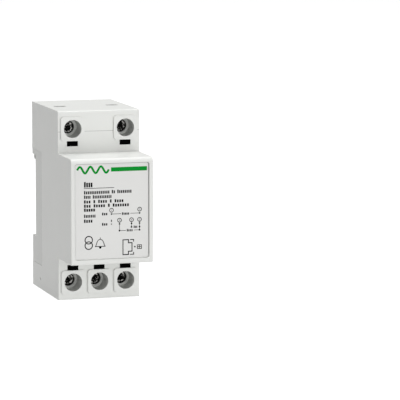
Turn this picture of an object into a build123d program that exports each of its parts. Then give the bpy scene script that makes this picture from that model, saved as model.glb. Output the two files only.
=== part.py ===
from build123d import *
import os

# Bell transformer for a 35 mm top hat rail, in millimetres.
# X runs to the right, Y to the rear and Z up. The origin is the middle of the seat that
# lies on the rail's front face.

# Housing
body_width = 35.8
body_height = 81.0
shoulder_depth = 39.5  # from the rail's front face to the shoulders
front_depth = 60.5  # from the rail's front face to the nose's front
rear_reach = 5.5  # how far the housing reaches behind the rail's front face
shoulder_length = 18.0  # from the end faces to the nose
nose_draft = 0.1
side_wall = 1.6
end_wall = 1.6
shoulder_wall = 1.8
nose_wall = 1.6
nose_top_radius = 2.0
nose_bottom_radius = 0.8
shoulder_radius = 0.8
upright_radius = 0.4
play = 0.1  # gap between mouldings that fit into each other
weld = 0.2  # how far a rib runs into the wall that carries it

# Rail and its recess in the back
rail_height = 35.0
rail_flange = 1.0
hook_play = 0.1
clip_play = 0.7
rail_play = 0.15
hook_grip = 2.0
hook_depth = 1.85
hook_gap = 12.0
hook_chamfer = 1.1

# Rear base
seat_wall = 1.8
base_wall = 1.6
flank_sink = 0.1  # the base's flanks lie a little under the cover's sides
flank_depth = 10.7
flank_above = 2.3  # above the rail recess
flank_below = 11.7  # below the rail recess
seam_width = 0.35
seam_depth = 0.8

# Clip and spring
clip_width = 14.0
clip_thickness = 2.6
clip_grip = 1.4  # above the rail's lower edge
clip_nose_land = 0.6
clip_ramp = 2.3
clip_sink = 0.2
blade_slot_width = 5.5
blade_slot_height = 1.4
blade_slot_depth = 3.0
guide_side = 1.6
spring_length = 8.8
spring_wire = 0.35
spring_radius = 1.0
spring_turns = 6
spring_play = 0.1
window_width = 3.4
stop_height = 2.0
stop_play = 0.2
stop_inset = 0.2
stop_above_end = 7.1  # from the bottom wall's inner face to the spring's seat

# Screw wells and terminals
terminal_inset = 6.3  # from the sides to the outer screws
terminal_drop = 7.6  # from the end faces to the screws
pad_size = 10.3
pad_height = 0.8
pad_chamfer = 0.8
well_radius = 3.85
well_depth = 7.7
neck_radius = 2.8
neck_length = 1.2
head_bore_radius = 3.4
head_bore_length = 2.7
tube_radius = 4.8
head_radius = 3.1
head_length = 1.8
head_play = 0.3
head_chamfer = 0.3
recess_width = 0.9
recess_length = 4.4
recess_depth = 1.1
shank_radius = 1.75
shank_length = 6.4
thread_play = 0.05
tip_play = 0.05
tab_thickness = 1.2
tab_width = 5.4
tab_length = 10.3
tab_foot_width = 6.0
tab_foot_height = 1.95
wire_gap = 4.4
cage_width = 8.0
cage_height = 6.4
cage_side = 1.0
cage_back = 1.2
cage_front = 1.8
cage_play = 0.25
cage_radius = 0.8
entry_width = 4.9
entry_depth = 4.5
entry_radius = 1.3
entry_lip = 0.25
mark_width = 4.7
mark_height = 2.2
mark_thickness = 0.4
mark_proud = 0.1

# Terminal carriers
carrier_thickness = 2.0
carrier_below_tubes = 0.1
carrier_rear = 4.0
separator_thickness = 1.2
separator_depth = 14.8
ledge_width = 1.5
rib = 1.2
groove_depth = 2.5

# Label
label_side = 1.7  # from the housing's sides
label_end = 2.2  # from the nose's ends
label_radius = 1.0
label_sink = 0.9
label_wall = 1.5
label_thickness = 0.25
label_play = 0.25
stripe_width = 15.7
stripe_height = 1.8
stripe_margin = 0.85  # from the label's right edge
stripe_drop = 2.7  # from the label's upper edge to the stripe's middle

# Core and coil
limb_width = 16.0
window_depth = 8.0
stack = 17.0
core_hole_radius = 1.6
core_front_gap = 4.1
core_end_gap = 0.9  # to the nose's end walls
core_play = 0.1
former_play = 0.2
former_wall = 1.0
former_side_gap = 0.9  # from the flanges to the housing's sides
former_limb_gap = 0.4  # from the flanges to the outer limbs
former_end_gap = 0.2
winding_side_sink = 0.8
winding_limb_sink = 1.0
winding_radius = 4.0
winding_play = 0.1
tape_thickness = 0.3
cradle_rib = 1.5
cradle_reach = 7.5
cradle_drop = 6.0  # from the core's ends to the side ribs
post_inset = 2.5
post_end = 2.0

# Leads and fuse
lead_radius = 0.6
lead_bend = 1.8
lead_offset = 3.7  # from the core's side
lead_rise = 4.0
middle_lead_bend = 1.5
lead_under_core = 0.36
fuse_radius = 1.3
fuse_length = 7.0
fuse_wire_radius = 0.3

# Snap arms of the base
arm_width = 5.0
arm_length = 10.9
arm_thickness = 1.4
barb_length = 2.0
barb_height = 0.6
arm_side_gap = 1.6

# Small marks of the mould
dimple_radius = 0.6
dimple_depth = 0.3
dimple_rise = 4.5
dimple_depth_y = 8.0
notch_width = 1.2
notch_depth = 1.0
notch_height = 0.8
notch_inset = 9.4

# Places that follow from the sizes above
half_width = body_width / 2
top_z = body_height / 2
inner_half = half_width - side_wall
inner_top = top_z - end_wall
shoulder_y = -shoulder_depth
shoulder_inner_y = shoulder_y + shoulder_wall
front_y = -front_depth
nose_half = top_z - shoulder_length
nose_inner = nose_half - nose_wall
nose_floor_y = front_y + label_sink + label_wall
rear_y = rear_reach
slot_top = rail_height / 2 + hook_play
slot_bottom = -rail_height / 2 - clip_play
flank_outer = half_width - flank_sink
flank_inner = flank_outer - side_wall
notch_x = half_width - notch_inset
flank_front_y = -flank_depth
flank_top = slot_top + flank_above
flank_bottom = slot_bottom - flank_below
core_front_y = nose_floor_y + core_front_gap
core_half_depth = limb_width + window_depth
core_y = core_front_y + core_half_depth
core_rear_y = core_y + core_half_depth
core_half_height = nose_inner - core_end_gap
window_half = core_half_height - limb_width / 2
cradle_z = core_half_height - cradle_drop
post_x = stack / 2 - post_inset
former_x = inner_half - former_side_gap
former_y = limb_width / 2 + window_depth - former_limb_gap
winding_x = former_x - winding_side_sink
winding_y = former_y - winding_limb_sink
lead_x = stack / 2 + lead_offset
terminal_pitch = half_width - terminal_inset
terminal_z = top_z - terminal_drop
mark_z = terminal_z - pad_size / 2 - play / 2 - mark_height / 2
ledge_y = shoulder_y + well_depth
neck_end_y = ledge_y + neck_length
tube_end_y = neck_end_y + head_bore_length
head_y = neck_end_y + head_play
tip_y = head_y + head_length + shank_length
tab_front_y = tip_y + tip_play
tab_rear_y = tab_front_y + tab_thickness
cage_rear_inner_y = tab_rear_y + wire_gap
cage_front_inner_y = tab_front_y - cage_play
wire_y = tab_rear_y + wire_gap / 2
carrier_outer_z = terminal_z - tube_radius - carrier_below_tubes
carrier_inner_z = carrier_outer_z - carrier_thickness
tab_inner_z = carrier_inner_z - tab_foot_height
back_plate_y = rear_y - base_wall
arm_front_y = back_plate_y - arm_length
bottom_arm_x = inner_half - arm_side_gap - arm_width / 2
clip_front_y = rail_flange + rail_play
clip_rear_y = clip_front_y + clip_thickness
channel_front_y = clip_front_y - rail_play
channel_rear_y = clip_rear_y + rail_play
spring_seat_z = -inner_top + stop_above_end
spring_top_z = spring_seat_z + spring_length
former_end_z = window_half - former_end_gap
spring_y = (clip_front_y + clip_rear_y) / 2
label_width = body_width - 2 * label_side
label_height = 2 * (nose_half - label_end)

TERMINALS = {
    "top_left": (-terminal_pitch, 1),
    "top_right": (terminal_pitch, 1),
    "bottom_left": (-terminal_pitch, -1),
    "bottom_middle": (0, -1),
    "bottom_right": (terminal_pitch, -1),
}


def block(x, y, z):
    """A box between two limits on each axis, in either order."""
    limits = [sorted(pair) for pair in (x, y, z)]
    size = [high - low for low, high in limits]
    middle = [(high + low) / 2 for low, high in limits]
    return Pos(*middle) * Box(*size)


def centred(middle, size):
    """The limits of a stretch around its middle."""
    return (middle - size / 2, middle + size / 2)


def side_shape(sketch, x):
    """A side view, drawn as (Y, Z), pulled between two X limits."""
    low, high = sorted(x)
    return extrude(Plane.YZ.offset(low) * sketch, amount=high - low, dir=(1, 0, 0))


def bar(radius, x, y, z):
    """A round bar along Y between two Y limits."""
    low, high = sorted(y)
    return Pos(x, (low + high) / 2, z) * Rot(90, 0, 0) * Cylinder(radius, high - low)


def layer(sketch, z):
    """A plan view around the core's middle, pulled between two Z limits."""
    low, high = sorted(z)
    return extrude(Pos(0, core_y, low) * sketch, amount=high - low)


def corner(sketch, y, z):
    return sketch.vertices().sort_by_distance((y, z, 0))[0]


def save(shape, node):
    shape.label = node
    export_step(shape, f"parts/{node}.step")


def cover_outline():
    """The housing's side view with its rounded edges."""
    nose_front_half = nose_half - nose_draft
    outline = Polygon(
        (shoulder_y, nose_half),
        (shoulder_y, top_z),
        (rear_y, top_z),
        (rear_y, -top_z),
        (shoulder_y, -top_z),
        (shoulder_y, -nose_half),
        (front_y, -nose_front_half),
        (front_y, nose_front_half),
        align=None,
    )
    outline = fillet(corner(outline, front_y, nose_front_half), nose_top_radius)
    outline = fillet(corner(outline, front_y, -nose_front_half), nose_bottom_radius)
    for end in (1, -1):
        outline = fillet(corner(outline, shoulder_y, end * top_z), shoulder_radius)
    return outline


def cavity_outline():
    past_rear = rear_y + 1
    return Polygon(
        (shoulder_inner_y, nose_inner),
        (shoulder_inner_y, inner_top),
        (past_rear, inner_top),
        (past_rear, -inner_top),
        (shoulder_inner_y, -inner_top),
        (shoulder_inner_y, -nose_inner),
        (nose_floor_y, -nose_inner),
        (nose_floor_y, nose_inner),
        align=None,
    )


def pad(x, end):
    """The raised square around a screw well."""
    square = chamfer(Rectangle(pad_size, pad_size).vertices(), pad_chamfer)
    plane = Plane((x, shoulder_y + pad_height / 2, end * terminal_z), (1, 0, 0), (0, -1, 0))
    return extrude(plane * square, amount=1.5 * pad_height)


def screw_well(x, end):
    """Everything cut away for a screw: the well, its neck and the bore behind."""
    z = end * terminal_z
    well = bar(well_radius, x, (shoulder_y - 2 * pad_height, ledge_y), z)
    neck = bar(neck_radius, x, (ledge_y, neck_end_y), z)
    behind = bar(head_bore_radius, x, (neck_end_y, tube_end_y + 1), z)
    return well + neck + behind


def wire_entry(x, end):
    """The square funnel through an end wall."""
    outside = Plane((x, wire_y, end * top_z), (1, 0, 0), (0, 0, end))
    mouth = RectangleRounded(
        entry_width + 2 * entry_lip, entry_depth + 2 * entry_lip, entry_radius + entry_lip
    )
    throat = RectangleRounded(entry_width, entry_depth, entry_radius)
    funnel = loft([outside * mouth, outside.offset(-entry_lip) * throat])
    return funnel + extrude(outside.offset(-entry_lip) * throat, amount=-end_wall)


def cover_ribs():
    """Ribs that carry the core's front limb and the terminal carriers."""
    ribs = []
    for side in (1, -1):
        post_z = (-core_half_height + post_end, core_half_height - post_end)
        post_y = (nose_floor_y - weld, core_front_y)
        ribs.append(block(centred(side * post_x, cradle_rib), post_y, post_z))
        for end in (1, -1):
            rib_x = (side * (stack / 2 + core_play), side * (inner_half + weld))
            rib_y = (nose_floor_y - weld, core_front_y + cradle_reach)
            ribs.append(block(rib_x, rib_y, centred(end * cradle_z, cradle_rib)))
            ledge_x = (side * (inner_half - ledge_width), side * (inner_half + weld))
            ledge_z = end * (carrier_inner_z - play)
            ledge_depth = (shoulder_inner_y - weld, flank_front_y - rib)
            ribs.append(block(ledge_x, ledge_depth, (ledge_z, ledge_z - end * rib)))
    for end in (1, -1):
        pad_z = (end * (core_half_height + core_play), end * (nose_inner + weld))
        pad_y = (core_front_y, core_front_y + cradle_reach)
        ribs.append(block((-cradle_rib, cradle_rib), pad_y, pad_z))
    return ribs


def front_cover():
    shell = side_shape(cover_outline(), (-half_width, half_width))
    uprights = shell.edges().filter_by(Axis.Z).group_by(Axis.Y)[0]
    shell = fillet(uprights, upright_radius)
    for x, end in TERMINALS.values():
        shell += pad(x, end)
    shell -= side_shape(cavity_outline(), (-inner_half, inner_half))
    for piece in cover_ribs():
        shell += piece
    for x, end in TERMINALS.values():
        tube_y = (shoulder_inner_y - shoulder_wall / 2, tube_end_y)
        shell += bar(tube_radius, x, tube_y, end * terminal_z)
    for x, end in TERMINALS.values():
        shell -= screw_well(x, end)
        shell -= wire_entry(x, end)
        mark_x = centred(x, mark_width + play)
        mark_y = (shoulder_y - 1, shoulder_y + mark_thickness - mark_proud)
        shell -= block(mark_x, mark_y, centred(end * mark_z, mark_height + play))
    shell -= extrude(label_plane(front_y - 1) * label_outline(0), amount=-1 - label_sink)
    for side in (1, -1):
        flank_x = (side * (inner_half - play), side * (half_width + 1))
        flank_z = (flank_bottom - play, flank_top + play)
        shell -= block(flank_x, (flank_front_y - play, rear_y + 1), flank_z)
        dimple_x = (side * (half_width - dimple_depth), side * (half_width + 1))
        place = Pos(sum(dimple_x) / 2, -dimple_depth_y, -top_z + dimple_rise)
        shell -= place * Rot(0, 90, 0) * Cylinder(dimple_radius, 1 + dimple_depth)
    for x, end in snap_arms():
        pocket_y = (arm_front_y - play, arm_front_y + barb_length + play)
        pocket_z = (end * (inner_top - 1), end * (inner_top + barb_height + play / 2))
        shell -= block(centred(x, arm_width + 2 * play), pocket_y, pocket_z)
    channel_x = (-clip_width / 2 - rail_play, clip_width / 2 + rail_play)
    shell -= block(channel_x, (channel_front_y, channel_rear_y), (-top_z - 1, -inner_top + 1))
    notch_z = (top_z - notch_height, top_z + 1)
    shell -= block(centred(notch_x, notch_width), (rear_y - notch_depth, rear_y + 1), notch_z)
    return shell


def label_plane(y):
    """The label's plane, seen from the front."""
    return Plane((0, y, 0), (1, 0, 0), (0, -1, 0))


def label_outline(gap):
    return RectangleRounded(label_width - 2 * gap, label_height - 2 * gap, label_radius)


def snap_arms():
    return [
        (side * x, end)
        for end, x in ((1, terminal_pitch / 2), (-1, bottom_arm_x))
        for side in (1, -1)
    ]


def snap_arm(x, end):
    """A snap arm along the inside of an end wall, with its barb."""
    face_z = inner_top - play
    arm = block(
        centred(x, arm_width),
        (arm_front_y, rear_y - base_wall / 2),
        (end * face_z, end * (face_z - arm_thickness)),
    )
    barb = Polygon(
        (arm_front_y, end * face_z),
        (arm_front_y + barb_length, end * (face_z + barb_height)),
        (arm_front_y + barb_length, end * face_z),
        align=None,
    )
    return arm + side_shape(barb, centred(x, arm_width))


def rear_base():
    """Rail recess, fixed hooks, clip channel, flanks and back plates in one moulding."""
    flank = Polygon(
        (flank_front_y, flank_top),
        (rear_y, flank_top),
        (rear_y, slot_top),
        (0, slot_top),
        (0, slot_bottom),
        (rear_y, slot_bottom),
        (rear_y, flank_bottom),
        (flank_front_y, flank_bottom),
        align=None,
    )
    across = (-flank_outer, flank_outer)
    base = block(across, (-seat_wall, 0), (slot_bottom, slot_top))
    for side in (1, -1):
        base += side_shape(flank, (side * flank_inner, side * flank_outer))
        post_y = (core_rear_y, -seat_wall / 2)
        post_z = (slot_bottom + base_wall, slot_top - base_wall)
        base += block(centred(side * post_x, cradle_rib), post_y, post_z)
        for end in (1, -1):
            rib_x = (side * (stack / 2 + core_play), side * flank_inner)
            rib_y = (core_rear_y - cradle_reach, -seat_wall / 2)
            base += block(rib_x, rib_y, centred(end * cradle_z, cradle_rib))
    plate_x = (-inner_half + play, inner_half - play)
    groove_x = (-inner_half + 2 * ledge_width, inner_half - 2 * ledge_width)
    for end, slot_z in ((1, slot_top), (-1, slot_bottom)):
        base += block(across, (-seat_wall, rear_y), (slot_z, slot_z + end * base_wall))
        base += block(plate_x, (back_plate_y, rear_y), (slot_z, end * (inner_top - play)))
        groove_y = (-carrier_rear - groove_depth, rear_y - base_wall / 2)
        outer_z = end * (carrier_outer_z + play)
        inner_z = end * (carrier_inner_z - play)
        base += block(groove_x, groove_y, (outer_z, outer_z + end * rib))
        base += block(groove_x, groove_y, (inner_z, inner_z - end * rib))
    for side in (1, -1):
        seam_x = (side * (flank_outer - seam_depth), side * (flank_outer + 1))
        seam_y = (flank_front_y - 1, flank_front_y + seam_width)
        base -= block(seam_x, seam_y, (flank_bottom - 1, flank_top + 1))
    for x, end in snap_arms():
        base += snap_arm(x, end)
    half_channel = clip_width / 2 + rail_play
    guide_x = (-half_channel - guide_side, half_channel + guide_side)
    guide_z = (slot_bottom, -inner_top + play)
    base += block(guide_x, (channel_front_y - base_wall, rear_y), guide_z)
    channel_y = (channel_front_y, channel_rear_y)
    base -= block((-half_channel, half_channel), channel_y, (slot_bottom + 1, -top_z - 1))
    stop_x = centred(0, window_width - 2 * stop_inset)
    stop_y = (channel_front_y - base_wall / 2, channel_rear_y + base_wall / 2)
    base += block(stop_x, stop_y, (spring_seat_z, spring_seat_z - stop_height))
    hook = Polygon(
        (clip_front_y, slot_top + base_wall / 2),
        (clip_front_y, slot_top - hook_grip),
        (clip_front_y + hook_depth - hook_chamfer, slot_top - hook_grip),
        (clip_front_y + hook_depth, slot_top - hook_grip + hook_chamfer),
        (clip_front_y + hook_depth, slot_top + base_wall / 2),
        align=None,
    )
    for side in (1, -1):
        base += side_shape(hook, (side * hook_gap / 2, side * flank_outer))
    return base


def rail_clip():
    """The sliding latch, with its nose, its spring window and its blade slot."""
    nose_z = -rail_height / 2 + clip_grip
    end_z = -top_z + clip_sink
    shape = Polygon(
        (clip_front_y, end_z),
        (clip_front_y, nose_z),
        (clip_front_y + clip_nose_land, nose_z),
        (clip_rear_y, nose_z - clip_ramp),
        (clip_rear_y, end_z),
        align=None,
    )
    clip = side_shape(shape, (-clip_width / 2, clip_width / 2))
    through = (clip_front_y - 1, clip_rear_y + 1)
    window_bottom = spring_seat_z - stop_height - stop_play
    clip -= block(centred(0, window_width), through, (window_bottom, spring_top_z))
    slot_y = centred(spring_y, blade_slot_height)
    clip -= block(centred(0, blade_slot_width), slot_y, (end_z - 1, end_z + blade_slot_depth))
    return clip


def clip_spring():
    """Compression spring between the base's stop and the clip's window."""
    free = spring_length - 2 * spring_play - spring_wire
    start_z = spring_seat_z + spring_play + spring_wire / 2
    path = Helix(pitch=free / spring_turns, height=free, radius=spring_radius)
    section = Plane(origin=path @ 0, z_dir=path % 0) * Circle(spring_wire / 2)
    return Pos(0, spring_y, start_z) * sweep(section, path=path, is_frenet=True)


def terminal_screw(x, end):
    z = end * terminal_z
    head = bar(head_radius, x, (head_y, head_y + head_length), z)
    head = chamfer(head.edges().group_by(Axis.Y)[0], head_chamfer)
    for wide, high in ((recess_length, recess_width), (recess_width, recess_length)):
        head -= block(centred(x, wide), (head_y - 1, head_y + recess_depth), centred(z, high))
    shank = bar(shank_radius, x, (head_y + head_length, tip_y), z)
    shank = chamfer(shank.edges().group_by(Axis.Y)[-1], head_chamfer)
    return head + shank


def terminal_cage(x, end):
    """The lift clamp: a loop around tab and wire, threaded at its front."""
    z = end * terminal_z
    outer_y = (cage_front_inner_y - cage_front, cage_rear_inner_y + cage_back)
    cage = block(centred(x, cage_width), outer_y, centred(z, cage_height))
    cage = fillet(cage.edges().filter_by(Axis.Z), cage_radius)
    inner_y = (cage_front_inner_y, cage_rear_inner_y)
    cage -= block(centred(x, cage_width - 2 * cage_side), inner_y, centred(z, cage_height + 1))
    cage -= bar(shank_radius + thread_play, x, (outer_y[0] - 1, cage_front_inner_y + 1), z)
    return cage


def terminal_tab(x, end):
    """The fixed contact strip, with a foot under the carrier."""
    depth = (tab_front_y, tab_rear_y)
    foot_z = (end * tab_inner_z, end * carrier_inner_z)
    strip_z = (end * carrier_inner_z, end * (carrier_inner_z + tab_length))
    foot = block(centred(x, tab_foot_width), depth, foot_z)
    return foot + block(centred(x, tab_width), depth, strip_z)


def terminal_carrier(end):
    """The partition that holds the tabs, with walls between the terminals."""
    plate_x = (-flank_inner + play, flank_inner - play)
    plate_y = (shoulder_inner_y, -carrier_rear)
    carrier = block(plate_x, plate_y, (end * carrier_inner_z, end * carrier_outer_z))
    wall_z = (end * (carrier_outer_z - carrier_thickness / 2), end * (inner_top - play))
    wall_y = (tube_end_y + play, tube_end_y + play + separator_depth)
    for side in (1, -1):
        wall_x = centred(side * terminal_pitch / 2, separator_thickness)
        carrier += block(wall_x, wall_y, wall_z)
    slot_z = (end * (carrier_inner_z - 1), end * (carrier_outer_z + 1))
    for x, terminal_end in TERMINALS.values():
        if terminal_end == end:
            slot_y = (tab_front_y - play, tab_rear_y + play)
            carrier -= block(centred(x, tab_width + 2 * play), slot_y, slot_z)
    return carrier


def terminal_marks():
    marks = []
    for x, end in TERMINALS.values():
        mark_y = (shoulder_y - mark_proud, shoulder_y + mark_thickness - mark_proud)
        marks.append(block(centred(x, mark_width), mark_y, centred(end * mark_z, mark_height)))
    return Compound(marks)


def stripe_area():
    x = (label_width - stripe_width) / 2 - stripe_margin
    return Pos(x, label_height / 2 - stripe_drop) * Rectangle(stripe_width, stripe_height)


def label_parts():
    """The printed plate and its coloured stripe, which is let into it."""
    floor = label_plane(front_y + label_sink)
    plate = extrude(floor * (label_outline(label_play) - stripe_area()), amount=label_thickness)
    stripe = extrude(floor * stripe_area(), amount=label_thickness)
    return plate, stripe


def core_hole(y_side, end):
    inset = limb_width / 4
    y = core_y + y_side * (core_half_depth - inset)
    place = Pos(0, y, end * (core_half_height - inset))
    return place * Rot(0, 90, 0) * Cylinder(core_hole_radius, stack + 1)


def core_e():
    """The E stack: three limbs that rise from the lower yoke."""
    across = (-stack / 2, stack / 2)
    outer = block(across, (core_front_y, core_rear_y), (-core_half_height, window_half))
    for side in (1, -1):
        limb_y = core_y + side * limb_width / 2
        window_y = (limb_y, limb_y + side * window_depth)
        outer -= block((-stack, stack), window_y, (-window_half, window_half + 1))
        outer -= core_hole(side, -1)
    return outer


def core_i():
    """The I stack: the upper yoke."""
    limits = (window_half, core_half_height)
    yoke = block((-stack / 2, stack / 2), (core_front_y, core_rear_y), limits)
    for side in (1, -1):
        yoke -= core_hole(side, 1)
    return yoke


def former_bore():
    return Rectangle(stack + 2 * former_play, limb_width + 2 * former_play)


def former_tube(gap):
    grown = former_play + former_wall + gap
    return RectangleRounded(stack + 2 * grown, limb_width + 2 * grown, former_wall)


def coil_former():
    """Two chambers between three flanges, on the middle limb."""
    former = layer(former_tube(0) - former_bore(), (-former_end_z, former_end_z))
    flange = RectangleRounded(2 * former_x, 2 * former_y, former_wall) - former_bore()
    for middle in (-former_end_z + former_wall / 2, 0, former_end_z - former_wall / 2):
        former += layer(flange, centred(middle, former_wall))
    return former


def chamber(end):
    low = former_wall / 2 + winding_play
    return (end * low, end * (former_end_z - former_wall - winding_play))


def winding(end):
    ring = RectangleRounded(2 * winding_x, 2 * winding_y, winding_radius)
    return layer(ring - former_tube(winding_play), chamber(end))


def tape(end):
    inside = winding_play / 2
    ring = tape_edge(inside + tape_thickness) - tape_edge(inside)
    return layer(ring, chamber(end))


def tape_edge(gap):
    size = (2 * (winding_x + gap), 2 * (winding_y + gap))
    return RectangleRounded(*size, winding_radius + gap)


def tube_along(points, bend):
    """A round lead along straight runs joined by tangent arcs."""
    path = FilletPolyline(*points, radius=bend)
    section = Plane(origin=path @ 0, z_dir=path % 0) * Circle(lead_radius)
    return sweep(section, path=path)


def side_lead(x, end):
    """From the coil's flange straight out to a tab's foot."""
    side = 1 if x > 0 else -1
    tab_y = (tab_front_y + tab_rear_y) / 2
    start_y = tab_y - lead_rise
    points = [
        (side * lead_x, start_y, end * former_end_z),
        (side * lead_x, start_y, end * (former_end_z + lead_rise)),
        (x, tab_y, end * (tab_inner_z - lead_rise)),
        (x, tab_y, end * tab_inner_z),
    ]
    return tube_along(points, lead_bend)


def middle_lead():
    """From the coil's flange down beside the core and under it to the middle tab."""
    tab_y = (tab_front_y + tab_rear_y) / 2
    start_y = core_y - lead_rise
    run_z = -core_half_height - lead_under_core - lead_radius
    points = [
        (-lead_x, start_y, -former_end_z),
        (-lead_x, start_y, run_z),
        (0, tab_y, run_z),
        (0, tab_y, -tab_inner_z),
    ]
    return tube_along(points, middle_lead_bend)


def thermal_fuse():
    """The fuse with its two wires, upright between the coil and the top right tab."""
    tab_y = (tab_front_y + tab_rear_y) / 2
    wire_length = tab_inner_z - former_end_z
    wire_middle = (tab_inner_z + former_end_z) / 2
    wire = Cylinder(fuse_wire_radius, wire_length)
    can = Cylinder(fuse_radius, fuse_length)
    can = fillet(can.edges(), fuse_radius / 3)
    return Pos(terminal_pitch, tab_y, wire_middle) * (wire + can)


os.makedirs("parts", exist_ok=True)

plate, stripe = label_parts()
save(front_cover(), "front_cover")
save(rear_base(), "rear_base")
save(rail_clip(), "rail_clip")
save(clip_spring(), "clip_spring")
save(terminal_marks(), "terminal_marks")
save(plate, "label_plate")
save(stripe, "label_stripe")
save(core_e(), "core_e_laminations")
save(core_i(), "core_i_laminations")
save(coil_former(), "coil_former")
save(winding(1), "primary_winding")
save(winding(-1), "secondary_winding")
save(tape(1), "primary_tape")
save(tape(-1), "secondary_tape")
save(thermal_fuse(), "thermal_fuse")
save(side_lead(-terminal_pitch, 1), "lead_top_left")
save(side_lead(-terminal_pitch, -1), "lead_bottom_left")
save(side_lead(terminal_pitch, -1), "lead_bottom_right")
save(middle_lead(), "lead_bottom_middle")
save(terminal_carrier(1), "terminal_carrier_top")
save(terminal_carrier(-1), "terminal_carrier_bottom")
for name, (x, end) in TERMINALS.items():
    save(terminal_screw(x, end), f"terminal_screw_{name}")
    save(terminal_cage(x, end), f"terminal_cage_{name}")
    save(terminal_tab(x, end), f"terminal_tab_{name}")
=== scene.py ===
import math

import bpy
from mathutils import Matrix, Vector

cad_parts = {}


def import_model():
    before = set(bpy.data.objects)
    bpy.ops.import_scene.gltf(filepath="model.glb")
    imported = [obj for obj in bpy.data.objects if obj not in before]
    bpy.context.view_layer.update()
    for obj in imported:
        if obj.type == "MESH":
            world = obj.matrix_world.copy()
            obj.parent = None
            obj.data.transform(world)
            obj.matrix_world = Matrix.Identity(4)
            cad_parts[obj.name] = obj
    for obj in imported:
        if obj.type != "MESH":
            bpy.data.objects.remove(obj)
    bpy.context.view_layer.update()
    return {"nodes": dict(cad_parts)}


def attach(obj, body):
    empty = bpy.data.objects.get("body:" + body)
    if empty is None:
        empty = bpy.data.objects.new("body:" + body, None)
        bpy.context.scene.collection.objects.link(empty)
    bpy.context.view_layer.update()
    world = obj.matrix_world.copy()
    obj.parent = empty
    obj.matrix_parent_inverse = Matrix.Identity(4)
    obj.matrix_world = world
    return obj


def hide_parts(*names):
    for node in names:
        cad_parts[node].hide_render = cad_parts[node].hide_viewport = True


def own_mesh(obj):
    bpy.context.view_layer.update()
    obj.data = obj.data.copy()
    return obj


# Rail transformer: finishes, printed label, clip spring, light and camera.
# Lengths are given in millimetres and turned into metres with MM.
# Tones are red, green and blue from 0 to 255, as they show on a screen.
MM = 0.001

# Camera
camera_azimuth = -17.574
camera_elevation = 7.764
camera_roll = 0.122
camera_distance = 1173.1
camera_right = 48.96
camera_up = -0.394
camera_lens = 243.74
camera_sensor = 36.0
camera_near = 50
camera_far = 60000
camera_target = Vector((0, -20, 0))

# Light
light_distance = 1300
key_direction = Vector((0.25, -1, 0))
key_size = 1500
key_power = 13.1
top_direction = Vector((0.05, 0.1, 1))
top_size = 1000
top_power = 16.3
left_direction = Vector((-1, -0.35, 0.1))
left_size = 1200
left_power = 0.8
ambient = 0.22
mirrored_ambient = 0.5

# Floor: its glow as the camera and mirrors see it, and as it lights the object
floor_seen = 0.87
floor_fill = 0.3
floor_z = -40.5
floor_half = 10000

# Printed label
label_face_y = -59.85
ink_lift = 0.015
ink_line = 0.2
stroke_share = 0.7
bold_share = 0.76
low_stroke = 0.85
font_size_to_height = 1.4
green_tones = ((0, 140, 42), (2, 146, 47))

# Wells, entries, label recess and seams, where shade is painted into the plastic, with the
# plastic's own tones and the painted shade tones
mask_edge = 0.05
well_pitch = 11.6
well_z = 32.9
well_radius = 3.9
well_front = -39.45
ledge_y = -31.8
neck_radius = 2.85
neck_rear = -26
entry_y = -18.65
entry_half = 2.6
end_z = 40.45
recess_half_width = 16.25
recess_bottom = -19.2
recess_top = 20.35
recess_front = -60.42
recess_rear = label_face_y + 0.4
shoulder_y = -39.5
seam_z = 31.7
seam_width = 0.22
seam_cover = 0.65
groove_floor = 16.95
groove_rear = -10.34
housing_tone = (224, 225, 222)
hollow_shade_tone = (198, 199, 196)
neck_shade_tone = (120, 121, 119)
recess_shade_tone = (172, 173, 171)
seam_shade_tone = (150, 151, 149)
base_tone = (216, 217, 214)
groove_shade_tone = (112, 113, 111)

# Screws, painted dark as shade with painted glints, where the radii of the glint ring are
# shares of the head's
head_rear = -28.4
thread_pitch = 0.7
thread_depth = 0.25
glint_ring_low = 0.58
glint_ring_high = 0.76
glint_size = 0.75
flat_glints = (-8.4, 5.0)
ring_glints = (-2.9, 3.5)
deep_shade_tone = (12, 12, 11)
glint_tone = (204, 203, 199)
turned_rings = 9.0
turned_depth = 0.008

# Core, windings and tape
sheet_thickness = 0.5
sheet_gap = 0.14
wire_pitch = 0.35
tape_width = 3.4

# Clip spring, between the base's stop and the clip's window
spring_low = -31.7
spring_high = -23.1
spring_front = 1.15
spring_rear = 3.75
spring_wire = 0.35
spring_radius = 1.0
spring_turns = 8
closed_turns = 0.75
closed_rise = 0.35
spring_steps = 28
spring_sides = 12

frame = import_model()
nodes = frame["nodes"]


def linear(value):
    """The amount of light that a value from 0 to 255 stands for."""
    value /= 255
    if value <= 0.04045:
        return value / 12.92
    return ((value + 0.055) / 1.055) ** 2.4


def shade(tone, factor=1.0):
    """The colour of a tone, with its light multiplied by a factor."""
    return tuple(min(1.0, linear(value) * factor) for value in tone) + (1.0,)


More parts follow.
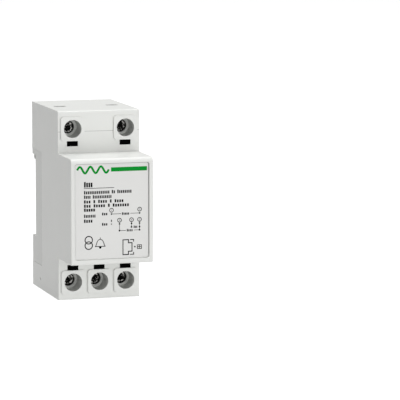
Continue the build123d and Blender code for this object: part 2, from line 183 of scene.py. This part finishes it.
class Finish:
    """A material made from a base colour, a roughness and the relief of its surface."""

    def __init__(self, name, **sockets):
        self.material = bpy.data.materials.new(name)
        self.material.use_nodes = True
        self.tree = self.material.node_tree
        self.shader = self.tree.nodes["Principled BSDF"]
        self.place = self.node("ShaderNodeTexCoord").outputs["Object"]
        self.whole = self.node("ShaderNodeTexCoord").outputs["Generated"]
        self.painted = None
        self.normal = None
        for socket, value in sockets.items():
            self.shader.inputs[socket.replace("_", " ")].default_value = value

    def node(self, kind, settings=None, **inputs):
        made = self.tree.nodes.new(kind)
        for key, value in (settings or {}).items():
            setattr(made, key, value)
        for socket, value in inputs.items():
            self.feed(made.inputs[socket.replace("_", " ")], value)
        return made

    def feed(self, socket, value):
        if isinstance(value, bpy.types.NodeSocket):
            self.tree.links.new(value, socket)
        else:
            socket.default_value = value

    def noise(self, size, detail=2.0, stretch=(1, 1, 1)):
        """Noise whose blobs are about that many millimetres wide."""
        place = self.node("ShaderNodeMapping", Vector=self.place, Scale=stretch)
        made = self.node(
            "ShaderNodeTexNoise",
            Vector=place.outputs["Vector"],
            Scale=1 / (size * MM),
            Detail=detail,
        )
        return made.outputs["Fac"]

    def bands(self, pitch, axis, profile="SIN", wander=0.0):
        """Straight bands across an axis, one for each pitch."""
        made = self.node(
            "ShaderNodeTexWave",
            {"bands_direction": axis, "wave_profile": profile},
            Vector=self.place,
            Scale=math.pi / (10 * pitch * MM),
            Distortion=wander,
            Detail=1.0,
        )
        return made.outputs["Fac"]

    def spread(self, factor, low, high):
        made = self.node("ShaderNodeMapRange", Value=factor, To_Min=low, To_Max=high)
        return made.outputs["Result"]

    def blend(self, factor, first, second):
        made = self.node("ShaderNodeMix", {"data_type": "RGBA"})
        self.feed(made.inputs["Factor"], factor)
        self.feed(made.inputs[6], first)
        self.feed(made.inputs[7], second)
        return made.outputs[2]

    def maths(self, operation, first, second=0.0):
        made = self.node("ShaderNodeMath", {"operation": operation})
        self.feed(made.inputs[0], first)
        self.feed(made.inputs[1], second)
        return made.outputs[0]

    def length(self, first, second):
        """The hypotenuse of two lengths."""
        squares = [self.maths("MULTIPLY", value, value) for value in (first, second)]
        return self.maths("SQRT", self.maths("ADD", *squares))

    def below(self, value, limit):
        """1 where a length is under that many millimetres, and 0 elsewhere."""
        return self.maths("LESS_THAN", value, limit * MM)

    def between(self, value, low, high):
        """1 where a length is between two given in millimetres, and 0 elsewhere."""
        above = self.maths("GREATER_THAN", value, low * MM)
        return self.maths("MULTIPLY", above, self.below(value, high))

    def all_of(self, first, *others):
        for other in others:
            first = self.maths("MULTIPLY", first, other)
        return first

    def axis(self, name):
        apart = self.node("ShaderNodeSeparateXYZ", Vector=self.place)
        return apart.outputs[name]

    def colour(self, value):
        self.painted = value
        self.feed(self.shader.inputs["Base Color"], value)

    def paint(self, mask, tone):
        """Another tone over the base colour where the mask is set."""
        self.colour(self.blend(mask, self.painted, shade(tone)))

    def clouded(self, size, detail, dark, light):
        """A base colour between two tones, and the noise that mixes them."""
        clouds = self.noise(size, detail)
        self.colour(self.blend(clouds, shade(dark), shade(light)))
        return clouds

    def roughness(self, factor, low, high):
        self.feed(self.shader.inputs["Roughness"], self.spread(factor, low, high))

    def relief(self, height, depth):
        """Bumps of that depth in millimetres, on top of those before."""
        made = self.node("ShaderNodeBump", Height=height, Distance=depth * MM)
        if self.normal is not None:
            self.feed(made.inputs["Normal"], self.normal)
        self.normal = made.outputs["Normal"]
        self.feed(self.shader.inputs["Normal"], self.normal)


def moulded(name, tone, roughness, contrast=0.02):
    """Moulded plastic: fine spark-eroded grain, slight flow clouds and soft sink."""
    finish = Finish(name)
    dark, light = shade(tone, 1 - contrast), shade(tone, 1 + contrast)
    finish.colour(finish.blend(finish.noise(11, 4), dark, light))
    finish.roughness(finish.noise(3, 3), roughness - 0.05, roughness + 0.05)
    finish.relief(finish.noise(0.3, 2), 0.006)
    finish.relief(finish.noise(9, 1), 0.02)
    return finish


def bare_metal(name, roughness, brushed=(1, 1, 1)):
    """Metal with fine drawing lines, before it is given a colour."""
    finish = Finish(name, Metallic=1.0)
    finish.roughness(finish.noise(0.5, 3), roughness - 0.08, roughness + 0.1)
    finish.relief(finish.noise(0.12, 2, brushed), 0.004)
    return finish


def plated(name, tone, roughness, brushed=(1, 1, 1)):
    """Plated metal, its brightness in soft patches."""
    finish = bare_metal(name, roughness, brushed)
    finish.colour(finish.blend(finish.noise(0.9, 4), shade(tone, 0.82), shade(tone)))
    return finish


def housing_finish():
    """Pale plastic, with painted shade in the wells, wire entries, necks and the gap round the
    label, and a painted shade line at the seam.
    """
    finish = moulded("housing", housing_tone, 0.42)
    x, y, z = (finish.axis(name) for name in "XYZ")
    across = finish.maths("PINGPONG", x, well_pitch / 2 * MM)
    height = finish.maths("ABSOLUTE", z)
    away = finish.length(across, finish.maths("SUBTRACT", height, well_z * MM))
    # Painted shade: the walls of the wells and of the wire entries darker, for the shade
    # inside them
    well = finish.all_of(
        finish.below(away, well_radius),
        finish.between(y, well_front, ledge_y - mask_edge),
    )
    entry = finish.all_of(
        finish.below(across, entry_half),
        finish.between(y, entry_y - entry_half, entry_y + entry_half),
        finish.below(height, end_z),
    )
    # Painted shade: the necks behind the ledges darker still, for the deep shade there
    neck = finish.all_of(
        finish.below(away, neck_radius),
        finish.between(y, ledge_y + mask_edge, neck_rear),
    )
    # Painted shade in the narrow gap and on the walls round the label
    recess = finish.all_of(
        finish.below(finish.maths("ABSOLUTE", x), recess_half_width),
        finish.between(z, recess_bottom, recess_top),
        finish.between(y, recess_front, recess_rear),
    )
    # Painted shade: a dark line where two housing parts meet, in place of the shade of their
    # parting line
    seam = finish.all_of(
        finish.between(z, seam_z - seam_width / 2, seam_z + seam_width / 2),
        finish.between(y, shoulder_y - mask_edge, shoulder_y + mask_edge),
    )
    finish.paint(finish.maths("MAXIMUM", well, entry), hollow_shade_tone)
    finish.paint(neck, neck_shade_tone)
    finish.paint(recess, recess_shade_tone)
    finish.paint(finish.spread(seam, 0.0, seam_cover), seam_shade_tone)
    return finish


def base_finish():
    """The same plastic a little darker, with painted shade in the groove beside the cover."""
    finish = moulded("base", base_tone, 0.44)
    across = finish.maths("ABSOLUTE", finish.axis("X"))
    # Painted shade in the groove at the front edge of the base's flank
    groove = finish.all_of(
        finish.maths("GREATER_THAN", across, groove_floor * MM),
        finish.below(finish.axis("Y"), groove_rear),
    )
    finish.paint(groove, groove_shade_tone)
    return finish


def screw_finish():
    """Zinc painted nearly black for the shade deep in the wells, with painted glints in
    patches and in a ring, turned heads and thread rings on the shanks.
    """
    finish = bare_metal("screw_steel", 0.3)
    middle = finish.node("ShaderNodeMapping", Vector=finish.whole, Location=(-0.5,) * 3)
    apart = finish.node("ShaderNodeSeparateXYZ", Vector=middle.outputs["Vector"]).outputs
    radius = finish.length(apart["X"], apart["Z"])
    # A ring on the head's face where painted glints gather
    ring = finish.all_of(
        finish.maths("GREATER_THAN", radius, glint_ring_low / 2),
        finish.maths("LESS_THAN", radius, glint_ring_high / 2),
    )
    patches = finish.noise(glint_size, 2)
    on_flat = finish.spread(patches, *flat_glints)
    on_ring = finish.maths("MULTIPLY", ring, finish.spread(patches, *ring_glints))
    glints = finish.maths("MAXIMUM", on_flat, on_ring)
    # Painted shade and painted glints: the head nearly black, with bright glint patches
    finish.colour(finish.blend(glints, shade(deep_shade_tone), shade(glint_tone)))
    turned = finish.node(
        "ShaderNodeTexWave",
        {"wave_type": "RINGS", "rings_direction": "Y"},
        Vector=middle.outputs["Vector"],
        Scale=turned_rings,
        Distortion=0.4,
    )
    finish.relief(turned.outputs["Fac"], turned_depth)
    behind_head = finish.maths("GREATER_THAN", finish.axis("Y"), head_rear * MM)
    thread = finish.maths("MULTIPLY", finish.bands(thread_pitch, "Y", "TRI"), behind_head)
    finish.relief(thread, thread_depth)
    return finish


def lamination_finish():
    """Varnished sheet steel, one band for each sheet of the stack."""
    finish = Finish("lamination", Metallic=0.6)
    sheets = finish.bands(sheet_thickness, "X", "SAW")
    clouds = finish.clouded(5, 4, (74, 70, 66), (104, 99, 93))
    finish.paint(finish.maths("LESS_THAN", sheets, sheet_gap), (38, 36, 34))
    finish.roughness(clouds, 0.38, 0.6)
    finish.relief(sheets, 0.03)
    finish.relief(finish.noise(0.4, 3), 0.01)
    return finish


def winding_finish():
    """Enamelled wire laid turn beside turn, with painted shade where two turns meet."""
    finish = Finish("copper", Metallic=0.85, Coat_Weight=0.6, Coat_Roughness=0.15)
    turns = finish.bands(wire_pitch, "Z", "SIN", 0.3)
    clouds = finish.clouded(2.2, 3, (168, 92, 52), (196, 116, 66))
    # Painted shade in the creases where two turns meet
    finish.paint(finish.spread(turns, 1.0, 0.25), (92, 44, 24))
    finish.roughness(clouds, 0.25, 0.4)
    finish.relief(turns, 0.09)
    return finish


def tape_finish():
    """Polyester tape in turns, with faint edges and a few wrinkles."""
    finish = Finish("tape", Coat_Weight=0.3, Coat_Roughness=0.1)
    clouds = finish.clouded(4, 3, (222, 178, 62), (238, 202, 92))
    finish.roughness(clouds, 0.22, 0.36)
    finish.relief(finish.noise(1.4, 3, (0.3, 0.3, 1.6)), 0.03)
    finish.relief(finish.bands(tape_width, "Z", "SAW"), 0.03)
    return finish


def lead_finish():
    """Black insulation of the leads, slightly grained."""
    finish = Finish("lead")
    clouds = finish.clouded(1.5, 3, (24, 24, 26), (38, 38, 41))
    finish.roughness(clouds, 0.42, 0.58)
    finish.relief(finish.noise(0.25, 2), 0.01)
    return finish


def fuse_finish():
    """Glazed pale ceramic."""
    finish = Finish("fuse", Coat_Weight=0.4, Coat_Roughness=0.12)
    clouds = finish.clouded(1.2, 4, (206, 196, 172), (226, 218, 198))
    finish.roughness(clouds, 0.28, 0.42)
    finish.relief(finish.noise(0.6, 2), 0.02)
    return finish


def label_finish():
    """Satin printed foil with a faint fine texture."""
    finish = Finish("label")
    finish.clouded(14, 3, (219, 219, 217), (222, 222, 220))
    finish.roughness(finish.noise(2, 2), 0.34, 0.42)
    finish.relief(finish.noise(0.5, 2), 0.003)
    return finish


def ink_finish(name, dark, light, roughness, specular=0.05):
    """Screen print, a little uneven in cover and gloss."""
    finish = Finish(name, Specular_IOR_Level=specular)
    clouds = finish.clouded(1.1, 4, dark, light)
    finish.roughness(clouds, roughness - 0.06, roughness + 0.06)
    finish.relief(finish.noise(0.3, 2), 0.002)
    return finish


FINISHES = {
    "housing": housing_finish(),
    "clip": moulded("clip", (62, 64, 67), 0.45, 0.05),
    "spring_steel": plated("spring_steel", (190, 190, 188), 0.22),
    "black_plastic": ink_finish("black_plastic", (1, 1, 1), (3, 3, 3), 0.6, 0.01),
    "label": label_finish(),
    "stripe": ink_finish("stripe", *green_tones, 0.45),
    "lamination": lamination_finish(),
    "former": moulded("former", (214, 210, 196), 0.4, 0.03),
    "copper": winding_finish(),
    "tape": tape_finish(),
    "fuse": fuse_finish(),
    "lead": lead_finish(),
    "carrier": moulded("carrier", (98, 100, 103), 0.46, 0.04),
    "screw_steel": screw_finish(),
    "cage_steel": plated("cage_steel", (196, 194, 188), 0.3, (0.2, 0.2, 2.0)),
    "tab_brass": plated("tab_brass", (216, 208, 180), 0.28, (0.3, 1.0, 1.5)),
}
BASE = base_finish()
INK_BLACK = ink_finish("ink_dark", (6, 6, 7), (14, 14, 15), 0.5)
INK_GREEN = ink_finish("ink_green", *green_tones, 0.45)

for cad_node in nodes.values():
    for material_slot in cad_node.material_slots:
        slot_name = material_slot.material.name.split(".")[0]
        material_slot.material = FINISHES[slot_name].material
for material_slot in nodes["rear_base"].material_slots:
    material_slot.material = BASE.material


def put(name, data):
    """A mesh, lamp or camera as an object in the scene."""
    made = bpy.data.objects.new(name, data)
    bpy.context.scene.collection.objects.link(made)
    return made


class Print:
    """Flat shapes of ink on the label's face, drawn as (X, Z) in millimetres."""

    def __init__(self):
        self.points = []
        self.faces = []

    def on_label(self, x, z):
        return (x * MM, (label_face_y - ink_lift) * MM, z * MM)

    def polygon(self, corners):
        first = len(self.points)
        self.points += [self.on_label(x, z) for x, z in corners]
        self.faces.append(tuple(range(first, first + len(corners))))

    def bar(self, left, bottom, right, top):
        self.polygon([(left, bottom), (right, bottom), (right, top), (left, top)])

    def line(self, start, end, width=ink_line):
        a, b = Vector(start), Vector(end)
        along = (b - a).normalized() * (width / 2)
        across = Vector((-along.y, along.x))
        a, b = a - along, b + along
        self.polygon([a - across, b - across, b + across, a + across])

    def path(self, points, width=ink_line, closed=False):
        """A line of even width through the points, mitred at its corners."""
        points = [Vector(point) for point in points]
        last = len(points) - 1
        sides = []
        for i, point in enumerate(points):
            before = point - points[i - 1] if i > 0 or closed else points[1] - point
            after = points[(i + 1) % len(points)] - point if i < last or closed else before
            before, after = before.normalized(), after.normalized()
            across = Vector((-before.y, before.x)) + Vector((-after.y, after.x))
            reach = width / (1 + before.dot(after))
            sides.append((point - across * reach / 2, point + across * reach / 2))
        following = sides[1:] + sides[:1] if closed else sides[1:]
        for (low, high), (next_low, next_high) in zip(sides, following):
            self.polygon([low, next_low, next_high, high])

    def rule(self, left, right, z, gap):
        """A level line that leaves a gap between two places."""
        self.line((left, z), (gap[0], z))
        self.line((gap[1], z), (right, z))

    def disc(self, x, z, radius, steps=20):
        turns = [2 * math.pi * i / steps for i in range(steps)]
        self.polygon([(x + radius * math.cos(t), z + radius * math.sin(t)) for t in turns])

    def ring(self, x, z, radius, width=ink_line, steps=36):
        inner, outer = radius - width / 2, radius + width / 2
        rays = []
        for i in range(steps + 1):
            angle = 2 * math.pi * i / steps
            rays.append((math.cos(angle), math.sin(angle)))
        for low, high in zip(rays, rays[1:]):
            corners = [(inner, low), (outer, low), (outer, high), (inner, high)]
            self.polygon([(x + reach * ray[0], z + reach * ray[1]) for reach, ray in corners])

    def row(self, left, right, base, height, words, share=stroke_share):
        """A row of plain strokes in groups, where small print stands."""
        strokes = sum(words) + len(words) - 1
        pitch = (right - left) / strokes
        x = left
        for word in words:
            for place in range(word):
                tall = height if place == 0 else low_stroke * height
                self.bar(x, base, x + share * pitch, base + tall)
                x += pitch
            x += pitch

    def number(self, text, x, z, height):
        """A plain terminal number."""
        curve = bpy.data.curves.new("number", "FONT")
        curve.body = text
        curve.size = height * font_size_to_height
        curve.resolution_u = 3
        curve.align_x = "CENTER"
        holder = bpy.data.objects.new("number", curve)
        mesh = bpy.data.meshes.new_from_object(holder)
        first = len(self.points)
        base = z - height / 2
        self.points += [self.on_label(x + v.co.x, base + v.co.y) for v in mesh.vertices]
        self.faces += [tuple(first + i for i in face.vertices) for face in mesh.polygons]
        bpy.data.objects.remove(holder)
        bpy.data.meshes.remove(mesh)
        bpy.data.curves.remove(curve)

    def build(self, name, finish):
        mesh = bpy.data.meshes.new(name)
        mesh.from_pydata(self.points, [], self.faces)
        mesh.validate()
        mesh.materials.append(finish.material)
        made = put(name, mesh)
        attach(made, "housing")


def small_print(ink):
    """Rows of plain strokes instead of words, with the rule under the first."""
    ink.row(-12.06, -8.2, 10.4, 2.3, [4], bold_share)
    ink.line((-12.05, 9.95), (0.9, 9.95), 0.22)
    ink.row(-12.07, 8.78, 7.5, 1.45, [14, 2, 8])
    ink.row(-12.08, 0.06, 5.6, 1.45, [4, 11])
    ink.row(-12.09, 5.28, 3.65, 1.35, [3, 1, 4, 1, 4])
    ink.row(-12.09, 7.68, 1.85, 1.35, [3, 5, 1, 7])
    ink.row(-12.1, -7.12, 0.15, 1.4, [5], bold_share)
    ink.row(-12.11, -6.92, -2.4, 1.4, [7])
    ink.row(-12.12, -8.22, -4.5, 1.4, [4])
    ink.row(-4.3, -1.75, -1.65, 1.15, [3])
    ink.row(-4.3, -1.75, -6.0, 1.15, [3])


def wiring_diagram(ink):
    """Circles for the terminals, joined as the two windings join them."""
    primary_x, primary_z, primary_rule = (-0.17, 12.1), 0.35, -1.24
    secondary_x, secondary_z = (3.3, 8.55, 12.05), -4.0
    inner_rule, outer_rule = -7.05, -8.4
    circle, circle_line, figure = 0.82, 0.3, 0.85
    small_dot, large_dot = 0.36, 0.38
    circles = [(x, primary_z) for x in primary_x] + [(x, secondary_z) for x in secondary_x]
    for count, (x, z) in enumerate(circles, 1):
        ink.ring(x, z, circle, circle_line)
        ink.number(str(count), x, z, figure)
    ink.rule(primary_x[0], primary_x[-1], primary_rule, gap=(3.9, 8.1))
    ink.row(4.4, 7.7, primary_rule - 0.55, 1.1, [5])
    drop_z = secondary_z - 0.9
    for x, foot_z in zip(secondary_x, (outer_rule, inner_rule, outer_rule)):
        ink.line((x, drop_z), (x, foot_z))
        ink.disc(x, drop_z - 0.65, small_dot)
        ink.disc(x, foot_z, large_dot)
    ink.disc(secondary_x[-1], inner_rule, large_dot)
    for x in primary_x:
        ink.disc(x, primary_rule, small_dot)
    ink.row(9.5, 11.2, inner_rule - 0.5, 1.05, [3])
    ink.rule(secondary_x[0], secondary_x[-1], outer_rule, gap=(6.0, 9.7))
    ink.row(6.5, 9.2, outer_rule - 0.5, 1.05, [4])
    ink.bar(-0.42, -4.6, -0.02, -3.6)
    ink.bar(-0.42, -5.75, -0.02, -5.25)


def two_windings(ink):
    """Two rings, one above the other, that overlap."""
    middle, radius, width = -10.1, 1.6, 0.42
    for z in (-11.9, -14.2):
        ink.ring(middle, z, radius, width)


def bell(ink):
    """A bell with its loop above and its clapper below."""
    middle, rim_z, top_z = -5.1, -14.75, -11.75
    outline, loop, clapper = 0.3, 0.26, 0.56
    half = [(0.75, -12.0), (1.25, -12.6), (1.55, -13.4), (1.75, -14.1), (2.1, rim_z)]
    right = [(middle + x, z) for x, z in half]
    left = [(middle - x, z) for x, z in reversed(half)]
    ink.path([(middle, top_z), *right, *left], outline, closed=True)
    ink.line((middle, top_z + 0.15), (middle, top_z + 0.65), loop)
    ink.disc(middle, rim_z - 0.4, clapper)


def housing_side(ink):
    """The side view of a stepped housing in a cut-out, with a small grid beside it."""
    back, shoulder, nose, middle = 4.8, 7.2, 8.75, -15.55
    half_height, half_nose = 3.15, 1.8
    outline, cut_out, dot, grid = 0.4, 0.36, 0.34, 0.28
    upper = [
        (back, middle + half_height),
        (shoulder, middle + half_height),
        (shoulder, middle + half_nose),
        (nose, middle + half_nose),
    ]
    lower = [(x, 2 * middle - z) for x, z in reversed(upper)]
    ink.path(upper + lower, outline, closed=True)
    bracket = [(7.9, half_height), (9.45, half_height), (9.45, 2.2)]
    for end in (1, -1):
        ink.path([(x, middle + end * z) for x, z in bracket], cut_out)
    ink.disc(10.0, -15.5, dot)
    left, right, bottom, top = 11.1, 12.9, -16.4, -14.8
    for place in range(3):
        x = left + place * (right - left) / 2
        z = bottom + place * (top - bottom) / 2
        ink.line((x, bottom), (x, top), grid)
        ink.line((left, z), (right, z), grid)


def wave(ink):
    """A plain alternating current wave beside the stripe."""
    left, right, middle, rise = -15.0, -1.3, 17.7, 1.35
    swings, steps, width = 3, 96, 0.9
    points = []
    for i in range(steps + 1):
        share = i / steps
        z = middle + rise * math.sin(2 * math.pi * swings * share)
        points.append((left + (right - left) * share, z))
    ink.path(points, width)


def spring_line():
    """The helix as (turn, height), climbing less in its closed ends."""
    climbed, line = 0.0, []
    for i in range(spring_steps * spring_turns + 1):
        turn = i / spring_steps
        line.append((turn, climbed))
        closed = turn < closed_turns or turn > spring_turns - closed_turns
        climbed += closed_rise if closed else 1.0
    low = spring_low + spring_wire / 2
    high = spring_high - spring_wire / 2
    return [(turn, low + (high - low) * height / line[-1][1]) for turn, height in line]


def coil_spring():
    """A compression spring with closed ends, as one tube along a helix."""
    middle_y = (spring_front + spring_rear) / 2
    line = spring_line()
    points, faces = [], []
    for turn, z in line:
        angle = 2 * math.pi * turn
        outward = Vector((math.cos(angle), math.sin(angle), 0))
        centre = Vector((0, middle_y, z)) + outward * spring_radius
        for side in range(spring_sides):
            around = 2 * math.pi * side / spring_sides
            offset = outward * math.cos(around) + Vector((0, 0, math.sin(around)))
            points.append((centre + offset * (spring_wire / 2)) * MM)
    for i in range(len(line) - 1):
        here, there = i * spring_sides, (i + 1) * spring_sides
        for side in range(spring_sides):
            after = (side + 1) % spring_sides
            faces.append((here + side, here + after, there + after, there + side))
    last = (len(line) - 1) * spring_sides
    faces.append(tuple(range(spring_sides)))
    faces.append(tuple(reversed(range(last, last + spring_sides))))
    mesh = bpy.data.meshes.new("spring_coil")
    mesh.from_pydata([tuple(point) for point in points], [], faces)
    mesh.materials.append(FINISHES["spring_steel"].material)
    for face in mesh.polygons:
        face.use_smooth = len(face.vertices) == 4
    made = put("spring_coil", mesh)
    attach(made, "housing")
    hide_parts("clip_spring")
    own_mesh(made)


def floor():
    """White to the camera, softened where the object shades it."""
    corners = [(-1, -1), (1, -1), (1, 1), (-1, 1)]
    mesh = bpy.data.meshes.new("floor")
    points = [(x * floor_half * MM, y * floor_half * MM, floor_z * MM) for x, y in corners]
    mesh.from_pydata(points, [], [(0, 1, 2, 3)])
    finish = Finish("floor", Roughness=0.9)
    finish.clouded(400, 3, (148, 148, 148), (152, 152, 152))
    rays = finish.node("ShaderNodeLightPath").outputs
    seen = finish.maths("MAXIMUM", rays["Is Camera Ray"], rays["Is Glossy Ray"])
    seen = finish.maths("MAXIMUM", seen, rays["Is Transmission Ray"])
    glow = finish.node("ShaderNodeEmission", Color=(1, 1, 1, 1))
    finish.feed(glow.inputs["Strength"], finish.spread(seen, floor_fill, floor_seen))
    both = finish.node("ShaderNodeAddShader")
    finish.feed(both.inputs[0], finish.shader.outputs[0])
    finish.feed(both.inputs[1], glow.outputs[0])
    out = finish.tree.nodes["Material Output"]
    finish.feed(out.inputs["Surface"], both.outputs[0])
    mesh.materials.append(finish.material)
    made = put("floor", mesh)
    made.visible_shadow = False


def world():
    """A white surround to the camera, dimmer where it lights or is mirrored."""
    made = bpy.data.worlds.new("studio")
    bpy.context.scene.world = made
    made.use_nodes = True
    tree = made.node_tree
    background = tree.nodes["Background"]
    background.inputs["Color"].default_value = (1, 1, 1, 1)
    rays = tree.nodes.new("ShaderNodeLightPath").outputs
    mirrored = tree.nodes.new("ShaderNodeMix")
    mirrored.inputs["A"].default_value = ambient
    mirrored.inputs["B"].default_value = mirrored_ambient
    tree.links.new(rays["Is Glossy Ray"], mirrored.inputs["Factor"])
    seen = tree.nodes.new("ShaderNodeMix")
    seen.inputs["B"].default_value = 1.0
    tree.links.new(mirrored.outputs["Result"], seen.inputs["A"])
    tree.links.new(rays["Is Camera Ray"], seen.inputs["Factor"])
    tree.links.new(seen.outputs["Result"], background.inputs["Strength"])


def area_light(name, direction, size, power):
    """A square lamp that faces the camera's target."""
    lamp = bpy.data.lights.new(name, "AREA")
    lamp.shape = "SQUARE"
    lamp.size = size * MM
    lamp.energy = power
    made = put(name, lamp)
    towards = direction.normalized()
    made.location = (camera_target + towards * light_distance) * MM
    made.rotation_euler = towards.to_track_quat("Z", "Y").to_euler()


def camera():
    """A long lens turned about the target, moved sideways and rolled a little."""
    azimuth, elevation = math.radians(camera_azimuth), math.radians(camera_elevation)
    roll = math.radians(camera_roll)
    back = Vector(
        (
            math.sin(azimuth) * math.cos(elevation),
            -math.cos(azimuth) * math.cos(elevation),
            math.sin(elevation),
        )
    )
    level = Vector((math.cos(azimuth), math.sin(azimuth), 0))
    upright = back.cross(level)
    right = level * math.cos(roll) + upright * math.sin(roll)
    up = upright * math.cos(roll) - level * math.sin(roll)
    place = camera_target + back * camera_distance + level * camera_right + upright * camera_up
    lens = bpy.data.cameras.new("camera")
    lens.lens = camera_lens
    lens.sensor_width = camera_sensor
    lens.clip_start = camera_near * MM
    lens.clip_end = camera_far * MM
    made = put("camera", lens)
    turn = Matrix((right, up, back)).transposed().to_4x4()
    made.matrix_world = Matrix.Translation(place * MM) @ turn
    bpy.context.scene.camera = made


dark = Print()
small_print(dark)
wiring_diagram(dark)
two_windings(dark)
bell(dark)
housing_side(dark)
dark.build("label_print_dark", INK_BLACK)
green = Print()
wave(green)
green.build("label_print_green", INK_GREEN)
coil_spring()

floor()
world()
area_light("key", key_direction, key_size, key_power)
area_light("top", top_direction, top_size, top_power)
area_light("left", left_direction, left_size, left_power)
camera()

scene = bpy.context.scene
scene.view_settings.view_transform = "Standard"
bpy.context.view_layer.update()
